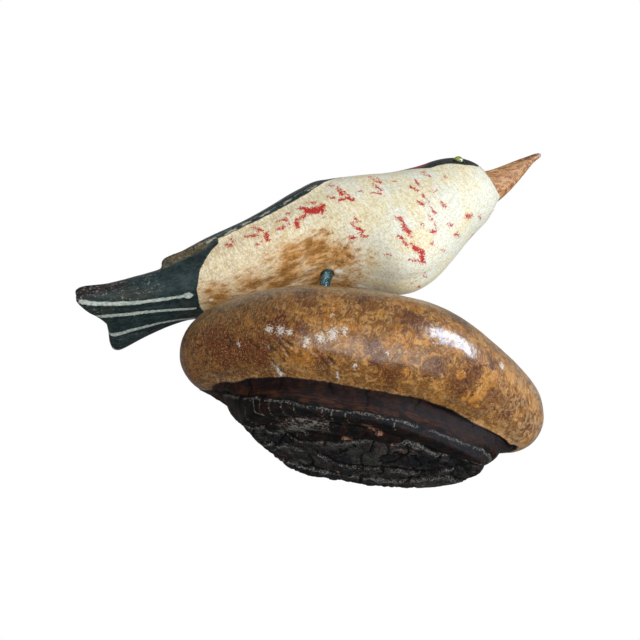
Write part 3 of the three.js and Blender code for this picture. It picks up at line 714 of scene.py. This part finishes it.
DABS = (  # on the right side: distance along, direction, length, lean and width of each brush mark
    (-48.6, -8, 3.2, -32, 1.7), (-46.1, -3, 2.5, -71, 0.9), (-35, -10, 7.2, -25, 1.7),
    (-29.9, -6, 5.7, -53, 1.4), (-27.1, -21, 3.8, -99, 2.3), (-32.8, -25, 3.3, 14, 1.1),
    (-31.8, 1, 2.7, -39, 0.9), (-16, -8, 4.6, -11, 1.4), (-13.4, -14, 5, -84, 1.4),
    (-8.5, -21, 3.7, -101, 3.1), (-11.2, -4, 2.6, -37, 1.1), (-17.7, -18, 4, -1, 1.1),
    (3, -16, 6.7, -18, 4.6), (-1.5, -8, 5.8, -41, 1.7), (-2.8, -17, 4.5, 9, 1.7), (7.7, -18, 3.8, -110, 2.8),
    (3.9, -6, 4.9, -36, 1.4), (-0.4, -15, 3.4, -8, 1.1), (21, -7, 5.8, -90, 2.3), (20.5, -17, 4.5, -4, 1.7),
    (24.2, -18, 2.6, -44, 2.6), (19.1, 4, 4.9, -41, 0.9), (14.8, -10, 3.1, -42, 0.9),
    (23.6, -11, 4, -71, 1.1), (32.4, -11, 3.3, -12, 0.9), (22.6, -40, 3.3, -59, 1.1),
    (20.5, -45, 4.3, -64, 1.1), (23.1, -49, 2.1, -44, 1.7), (17.9, -54, 2.1, -16, 2.2),
    (23.6, -54, 2.4, -34, 1.7), (42.9, 6, 9, -80, 1.1), (41.9, -8, 6.7, -70, 1.4), (39.2, -16, 4.3, -20, 1.3),
    (45.7, 3, 7.4, -96, 0.9), (53.6, -1, 2.3, -4, 1), (75, 8, 1.8, -23, 1.5), (75.6, -1, 3.2, -54, 1.2),
    (66, -9, 5.1, -96, 1.1), (61.8, -16, 5.8, -61, 1.7), (66.3, -14, 4, -94, 1.2),
    (85.7, -15, 2.3, -95, 1.2), (61.3, -36, 3.6, -48, 1.8), (65, -30, 2.7, -101, 1.1),
    (66, -35, 2.4, -78, 1), (65.8, -43, 2.4, -73, 1), (66.5, -48, 2.3, -69, 1),
    (63, -51, 2.2, -82, 1.2), (64.4, -58, 2.2, -87, 1), (61.5, -62, 2.6, -21, 1.8),
    (74.4, -45, 2.9, -68, 2), (73.7, -28, 3, 11, 0.9), (44.6, -46, 3.1, -48, 1.4),
    (45.6, -49, 4.4, -82, 2.2), (46.3, -56, 3.6, -61, 2.8), (41.7, -60, 2.7, -44, 1.9),
    (43.1, -65, 2.7, -63, 1.4), (46.8, -68, 2.7, -75, 1.4), (49.1, -71, 5.3, -48, 3.1),
    (50.3, -76, 3.5, -92, 2.8), (49.4, -79, 3.8, -26, 1.4), (44.7, -76, 2.9, -23, 0.8),
    (56.1, -54, 1.7, -10, 0.8), (74.8, -65, 2.4, -25, 1.4), (77.8, -77, 3.1, -33, 1.7),
    (58, -69, 1.9, -18, 1), (64.8, -79, 2.6, -31, 0.9), (91.1, -71, 5.1, -30, 2.4),
    (101, -84, 4.3, -63, 1.1), (50.8, -90, 4.5, -68, 1), (32.9, -70, 2.4, -14, 0.7),
    (47.9, -100, 2.5, -34, 0.7), (47.1, -60, 2.1, -44, 0.8))
CREASES = (  # soft folds of the thigh, as distance along and direction from one end to the other
    (-44, -76, -29.4, -71), (-29.4, -71, -20.3, -66), (-20.3, -66, -11.1, -62), (-11.1, -62, 2, -54),
    (-30, -86, -16.9, -82), (-16.9, -82, -7.7, -79), (-7.7, -79, 8, -75), (-5, -42, -8, -56), (-8, -56, -14, -66))
INNER_WING = (14, 13.5, -84, 1)  # distance along and from the middle, at the shoulder and at the tail
STAINS = (  # where hands and varnish have browned the paint: distance along, direction, radius, strength
    (8, -70, 12, 0.85), (-4, -58, 12, 0.95), (-17, -52, 11, 0.8), (14, -88, 9, 0.5), (25, -106, 9, 0.35),
    (-20, -68, 12, 0.85), (-44, -73, 13, 0.65), (-64, -79, 12, 0.75), (3, -45, 7, 0.5), (-30, -45, 8, 0.45),
    (-32, -88, 12, 0.8), (-4, -90, 12, 0.9))

eyes = [(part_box(name)[0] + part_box(name)[1]) / 2 for name in ("eye_left", "eye_right")]
bird = shaped_copy("carved_bird", "painted_bird", BIRD_RIM, BIRD_GRAIN, 2)

# Each point's distance along the bird, to its left and upward, and its direction around the bird's widest line.
p = points(bird)
out = points(bird, "normal")
turned = np.array(Euler(BIRD_TURN).to_matrix())
local = (p - np.array(BIRD_AT) * 1000) @ turned
s, l, u = local.T
aside = np.abs(l)
facing = (out @ turned)[:, 2]
widest = from_table(s, WIDEST)
around_right = np.degrees(np.arctan2(u - widest, -l))  # 0 on the right side, 90 on the back, -90 on the belly
around_side = np.degrees(np.arctan2(u - widest, aside))
radius = np.hypot(l, u - widest)
per_degree = math.pi / 180 * np.maximum(radius, 6)
ripple = clouds(local, 6, 3, 2.0)

# Folds of the thigh beside the rod, and the long shallow facets that the knife left.
fold = highest(
    fall(to_line(s, around_right * per_degree, s1, a1 * per_degree, s2, a2 * per_degree) + 1.2 * ripple, 0.0, 4.0)
    for s1, a1, s2, a2 in CREASES)
fold *= smooth(s, -80, -60) * fall(s, 108, 118)
knife = 0.10 * np.abs(clouds(local * (0.35, 1, 1), 5.5, 2, 11.0)) + 0.05 * np.abs(ripple)

# The grooves: between the tail's feathers, of the mouth, under the wings' quills and along their inner edges.
tail = fall(s, *TAIL_START)
feather = highest(fall(to_line(s, l - 3.6, *stroke), 0.1, 1.4) for stroke in strokes(STRIPES))
feather *= tail * smooth(-facing, 0.4, 0.8)
past_bill = s + 0.45 * aside - BILL_START
bill = smooth(past_bill, -0.6, 0.6)
mouth = fall(np.abs(around_side - 2), 1.5, 9) * bill * smooth(radius, 1, 3) * fall(s, 155, 164)
wing_line = from_table(s, DARK_EDGE)
quill = hump((around_side - wing_line - 7) * per_degree, 0, 0.6) * smooth(s, -66, -56) * fall(s, 8, 16)
spine = hump(to_line(s, aside, *INNER_WING) + 0.5 * ripple, 0, 0.8) * smooth(facing, 0.3, 0.6)
bill_seam = bill * hump(s, 122, 1.5)
sink = knife + 0.7 * spine + 0.45 * (fold + mouth) + 0.35 * (feather + bill_seam + quill)

# Small corrections of the outline toward the photograph: the low breast and the tail fuller, the wing ends slimmer.
upper = smooth(facing, 0.1, 0.6)
sink += upper * (1.2 * hump(s, -90, 12) + 0.6 * hump(s, -40, 26) - 1.3 * fall(s, -134, -118))
sink += hump(s, -72, 16) * smooth(around_side, 5, 22)
sink -= 3.1 * hump(s, 44, 15) * hump(aside, 8, 12) * smooth(-facing, 0.2, 0.8)
sink -= tail * (0.55 + 0.7 * smooth(aside - 8, 0, 6) * smooth(-facing, -0.3, 0.4))
from_rod = np.where(u < 20, smooth(np.hypot(p[:, 0] - rod_x, p[:, 1] - rod_y), *BIRD_HOLE), 1)
place_points(bird, p - out * (sink * from_rod)[:, None], "carved_bird")

# Where the painter changed colour. Each value is about the distance in mm from the edge of a mark, above 0 inside it.
side_line = (around_side - wing_line) * per_degree
stripe = highest((1.35 - 0.07 * i - to_line(s, l, *stroke) for line in STRIPES
                  for i, stroke in enumerate(strokes([line]))), OUTSIDE)
stripe = np.maximum(stripe, 1.9 - np.hypot((s + 79.5) * 0.7, l + 8.2))
edging = np.where((l > 0) & (s < -92), 1.3 - np.abs(around_side + 9) * per_degree, OUTSIDE)
bar = np.full(len(p), OUTSIDE)
for bar_s, bar_u, length in BARS:
    bar = np.maximum(bar, 0.75 - to_line(s, u - bar_u, bar_s - length / 2, -0.5, bar_s + length / 2, 0.3))
    for row, over in enumerate((9.0, 18.0, 27.0)):
        inward = to_line(s, around_side, bar_s - 4 - row * 3, 14 + over, bar_s + 0.5 - row * 3, 16 + over)
        bar = np.maximum(bar, np.where(around_side > 15, 1.3 - 0.1 * row - inward, OUTSIDE))
feathering = highest((
    np.minimum(0.8 - np.abs(around_side - wing_line - over) * per_degree, np.minimum(s - start, end - s) * 0.2)
    for over, start, end in FEATHER_ROWS), OUTSIDE)
back_feathers = np.full(len(p), OUTSIDE)
for start in np.arange(2, -80, -9.5):
    out_to = np.interp(start, (-84, 14), (1.0, 13.5))
    for over in (2.6, 6.4, 10.2):
        stroke = to_line(s, aside, start + over * 0.5, out_to + over, start - 4.5 + over * 0.5, out_to + over + 0.5)
        back_feathers = np.maximum(back_feathers, 0.75 - stroke)
dab = np.full(len(p), OUTSIDE)
chance = np.random.default_rng(7)
for at_s, at_turn, length, lean, width in DABS:
    half_s = math.cos(math.radians(lean)) * length / 2
    half_a = math.sin(math.radians(lean)) * length / 2
    for mirrored in (False, True):
        turn_now = around_right
        if mirrored:
            if at_turn < -72:
                continue
            turn_now = np.where(around_right < -90, -180 - around_right, 180 - around_right)
            at_s += chance.uniform(-5, 5)
            at_turn += chance.uniform(-6, 4)
        away = to_line(s - at_s, (turn_now - at_turn) * per_degree, -half_s, -half_a, half_s, half_a)
        dab = np.maximum(dab, width / 2 - away)
stain = highest(
    strength * np.exp(-((s - at_s) ** 2 + ((turn_now - at_turn) * per_degree) ** 2) / size ** 2)
    for at_s, at_turn, size, strength in STAINS for turn_now in (around_right, -180 - around_right))
chipped = highest(
    np.exp(-((s - chip_s) ** 2 * 0.5 + ((around_right - chip_turn) * per_degree) ** 2) / size ** 2)
    for chip_s, chip_turn, size in PAINT_CHIPS)
eye_ring = np.full(len(p), OUTSIDE)
for eye in eyes:
    eye_s, eye_l, eye_u = (np.array((eye - BIRD_AT) * 1000)) @ turned
    away = np.hypot(np.hypot(s - eye_s, u - eye_u), np.minimum(np.abs(l - eye_l), 4))
    eye_ring = np.maximum(eye_ring, EYE_RING - away)
keep(bird, dark=np.maximum(from_table(around_side, WHITE_END) - s, side_line),
     bill=past_bill, tip=hump(s, BILL_TIP, 4.5),
     stripe=np.maximum(np.where(facing < 0.1, stripe, OUTSIDE), edging),
     bar=np.where(side_line > 0, bar, OUTSIDE), quill=np.where(side_line > 0, feathering, OUTSIDE), spine=spine,
     back_feathers=np.where((facing > 0.3) & (s < 6), back_feathers, OUTSIDE),
     dab=dab, stain=stain * fall(s, 20, 40), fold=fold, around=around_side, chipped=chipped,
     eye_ring=eye_ring)
bpy.ops.object.shade_smooth()

paint = Finish("painted wood", **{"Specular IOR Level": 0.2})
at = paint.place(BIRD_AT, BIRD_TURN)
along = paint.apart(at)[0]
around, dabbed, stained, folded, bared = paint.kept("around", "dab", "stain", "fold", "chipped")
brush = paint.cloud(at, 1.1, 4, 0.65, stretch=(0.28, 1, 1))
speck = paint.cloud(at, 0.8, 4, 0.8)
flake = paint.cloud(paint.place((4, 1, 6)), 1.5, 5, 0.75)
mottle = paint.cloud(at, 6, 5, 0.62, 0.4)
drift = paint.cloud(at, 22, 4, 0.5)
veil = paint.cloud(paint.place((1, 2, 3), (0, 0.9, 0.2)), 1.0, 4, 0.65, stretch=(0.25, 1, 1))
body_lean = (0, BIRD_TURN[1] - 0.25, BIRD_TURN[2])
sweep = paint.cloud(paint.place(BIRD_AT, body_lean), 2.6, 5, 0.7, stretch=(0.16, 1, 1))
scraped = paint.cloud(at, 1.1, 4, 0.7, stretch=(0.22, 1.4, 1.4))

# The white, beige toward the tail, browned by hands and varnish round the rod, with dabs of red.
rear = 1 - paint.ramp(along + (drift - 0.5) * 60, -30, 35)
white = paint.mix(rear, paint.blend(drift, 0.46, 0.60, "e0e2d2", "e5dab3"),
                  paint.blend(mottle, 0.42, 0.58, "d3bd95", "e6d6b0"))
white = paint.coats(
    white,
    ("e7d59c", mottle, 0.53, 0.64, 0.40),
    ("a98c5c", speck, 0.53, 0.62, 0.50),
    ("f6f5ee", 1 - speck, 0.53, 0.62, 0.55),
    ("b9a97a", 1 - brush, 0.51, 0.60, 0.42),
    ("f3f3e9", veil, 0.51, 0.58, 0.55),
    ("cbb877", 1 - veil, 0.53, 0.61, 0.30),
    ("c88f48", stained * 0.55 + sweep * 0.6 + mottle * 0.3, 0.50, 0.90, 0.85),
    (paint.blend(flake, 0.45, 0.58, "6f4312", "a8742c"),
     stained * 0.24 + mottle * 0.15 + sweep * 0.8 + brush * 0.3, 0.69, 0.90, 0.85),
    ("7a5426", folded * 0.5 + sweep * 0.8 + speck * 0.3, 0.72, 0.98, 0.5),
    ("f1ece0", bared * 0.5 + flake * 0.5, 0.52, 0.62, 0.85))
dab_edge = dabbed + (flake - 0.5) * 6.5 + (speck - 0.5) * 6.5 + (brush - 0.5) * 3.0
red = paint.ramp(dab_edge, -0.20, 0.25)
white = paint.mix(red * 0.96, white, paint.blend(dabbed + (speck - 0.5) * 2, -0.3, 0.6, "c9453a", "b20e08"))

# The slate of wings and tail, worn brown at the wing tips, with pale strokes for the feathers.
wing_tip = paint.ramp(along, -96, -84) * (1 - paint.ramp(along, -66, -50)) * paint.ramp(around, 4, 9)
tail_side = (1 - paint.ramp(along, -116, -104)) * paint.ramp(around, -16, -4)
tail_worn = (1 - paint.ramp(along, -104, -84)) * paint.ramp(around, -45, -25)
slate = paint.coats(
    paint.blend(mottle * 0.5 + brush * 0.5, 0.42, 0.58, "182628", "28393b"),
    ("475150", flake, 0.54, 0.64, 0.45),
    ("433e29", drift + (brush - 0.5) * 0.8, 0.52, 0.66, 0.3),
    (paint.blend(flake, 0.45, 0.58, "453a25", "6f6144"), mottle, 0.36, 0.5, wing_tip * 0.85))
slate = paint.coats(
    paint.mix(tail_side * 0.9, slate, "1a1316"),
    ("9f8c88", scraped, 0.56, 0.64, tail_side * 0.7),
    ("a39a83", flake, 0.56, 0.66, tail_worn * 0.7))
slate = paint.shade(slate, 0.55 + brush * 0.9)
uneven = (brush - 0.5) * 1.6 + (speck - 0.5) * 1.4
striped, barred, quilled, rowed, spine_groove_shade = paint.kept("stripe", "bar", "quill", "back_feathers", "spine")
slate = paint.coats(
    slate,
    (paint.blend(flake, 0.44, 0.58, "a9bcb8", "dfe2d6"), striped + uneven, -0.05, 0.45, 0.85),
    ("a9aa9d", barred + uneven * 1.8, 0.1, 0.5, 0.75),
    ("8e8f83", quilled + uneven * 2.4, 0.35, 0.75, 0.5),
    ("94968b", rowed + uneven * 1.8, 0.1, 0.5, 0.55))
# Painted shade: near-black along the carved groove of the wings' inner edges.
slate = paint.mix(spine_groove_shade * 0.85, slate, "0b0e0e")

# The black cap with a red band across the nape.
cap = paint.coats(paint.blend(mottle, 0.44, 0.58, "121514", "2a302f"), ("6d706c", scraped, 0.56, 0.66, 0.4))
slate = paint.mix(paint.ramp(along, 62, 68), slate, cap)
ragged = (brush - 0.5) * 26 + (mottle - 0.5) * 22
nape_red = paint.ramp(around - (along * 1.25 - 74) + ragged * 0.6, -2, 3) * paint.ramp(along + ragged, 68, 71)
nape_red = nape_red * (1 - paint.ramp(along + ragged, 93, 97))
slate = paint.mix(nape_red * 0.92, slate, paint.mix(flake, "7c1c18", "a83830"))

past_edge, ringed, on_tip, on_bill = paint.kept("dark", "eye_ring", "tip", "bill")
dark = paint.ramp(past_edge + (brush - 0.5) * 1.6 + (speck - 0.5) * 0.8, -0.15, 0.35)
coat = paint.mix(dark, white, slate)
coat = paint.coats(coat, ("5d6030", ringed + (speck - 0.5) * 2.5, 0.0, 0.6, 0.6))

# The bill is stained wood, darker toward its chipped tip.
streak = paint.cloud(at, 1.5, 5, 0.7, 0.3, stretch=(0.12, 1, 1))
blotch = paint.cloud(at, 2.6, 4, 0.65, stretch=(0.25, 1, 1))
toward_tip = paint.ramp(along + (streak - 0.5) * 60 + (blotch - 0.5) * 60, 144, 164)
bill_colour = paint.coats(
    paint.blend(streak, 0.42, 0.60, "8d5c34", "cb9b6a"),
    ("8a4f26", blotch, 0.5, 0.6, 0.4),
    ("d9b285", 1 - blotch, 0.52, 0.62, 0.35),
    ("42251a", around, -50, 10, toward_tip * 0.75),
    ("d7b58f", flake, 0.56, 0.66, 0.5),
    (paint.blend(speck, 0.46, 0.54, "5a3a33", "eed8d0"), on_tip + (flake - 0.5) * 2.0, 0.45, 0.75, 0.9))
coat = paint.mix(paint.ramp(on_bill + (speck - 0.5) * 1.8, -0.25, 0.25), coat, bill_colour)

paint_rough = 0.55 + speck * 0.2 - dark * 0.10 - red * 0.1
grainy = brush * 0.55 + speck * 0.35 + veil * 0.45 + red * 0.15
bird.data.materials.append(paint.finished(coat, paint_rough, grainy, PAINT_BUMP))
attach(bird, "root")
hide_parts("carved_bird")


# The eyes are round-headed pins with a thin flat collar, pushed into the head and touched with yellow-green enamel,
# with a black pupil.
EYE_RADIUS = 3.038  # mm
EYE_BULGE = 2.0
COLLAR = 0.35  # height of the collar
DOME_START = 0.92  # the dome's radius at the collar, in parts of the collar's
SUNK = 0.8  # how deep the pin's plate goes into the head
EYE_AT = (0.103, 0.0232, 0.0375)  # along, aside and up from the rod's entry
EYE_LOOK = (0.26, 0.95, 0.1)
PUPIL = 0.9, 1.2  # mm, the pupil's edge lies between these, and the iris's dark rim begins between the others
IRIS_RIM = 2.5, 2.9

for name, side in (("eye_left", 1), ("eye_right", -1)):
    bird_turn = Euler(BIRD_TURN).to_matrix()
    look = (bird_turn @ (Vector(EYE_LOOK) * Vector((1, side, 1))).normalized()).to_track_quat("Z", "Y")
    face_at = bird_turn @ (Vector(EYE_AT) * Vector((1, side, 1))) + BIRD_AT
    bpy.ops.object.select_all(action="DESELECT")
    bpy.ops.mesh.primitive_circle_add(vertices=40, radius=EYE_RADIUS / 1000, fill_type="NGON", location=(0, 0, 0))
    eye = bpy.context.object
    eye.name = "enamel_" + name
    bpy.ops.object.mode_set(mode="EDIT")
    bpy.ops.mesh.select_all(action="SELECT")
    bpy.ops.transform.translate(value=(0, 0, -SUNK / 1000))
    bpy.ops.mesh.extrude_region_move(TRANSFORM_OT_translate={"value": (0, 0, (SUNK + COLLAR) / 1000)})
    share, level = 1.0, 0.0
    for angle in range(8, 79, 14):
        now = math.cos(math.radians(angle)) * DOME_START
        height = math.sin(math.radians(angle)) * (EYE_BULGE - COLLAR)
        bpy.ops.mesh.extrude_region_move(TRANSFORM_OT_translate={"value": (0, 0, (height - level) / 1000)})
        bpy.ops.transform.resize(value=(now / share, now / share, 1))
        share, level = now, height
    bpy.ops.mesh.poke(offset=0.00003)
    bpy.ops.mesh.select_all(action="SELECT")
    bpy.ops.mesh.normals_make_consistent(inside=False)
    bpy.ops.object.mode_set(mode="OBJECT")
    apply_modifier(eye, "BEVEL", width=0.00008, segments=2, limit_method="ANGLE", angle_limit=math.radians(50))
    eye.data.transform(Matrix.Translation(face_at) @ look.to_matrix().to_4x4())
    bpy.ops.object.shade_smooth_by_angle(angle=SHARP)
    enamel = Finish("enamel " + name, **{"Coat Weight": 0.6, "Coat Roughness": 0.08})
    at = enamel.place(face_at, look.to_euler())
    right, over, _ = enamel.apart(at)
    away = enamel.from_middle(right, over)
    worn = enamel.cloud(at, 0.9, 4, 0.6)
    pupil = 1 - enamel.ramp(away + (worn - 0.5) * 0.9, *PUPIL)
    iris = enamel.blend(worn, 0.42, 0.58, "6d7526", "b3b848")
    iris = enamel.mix(enamel.ramp(away + (worn - 0.5) * 2, *IRIS_RIM), iris, "3d4122")
    eye_colour = enamel.mix(pupil, iris, "0a0b0a")
    eye.data.materials.append(enamel.finished(eye_colour, 0.25 + worn * 0.2, worn, 0.06))
    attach(eye, "root")
    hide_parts(name)
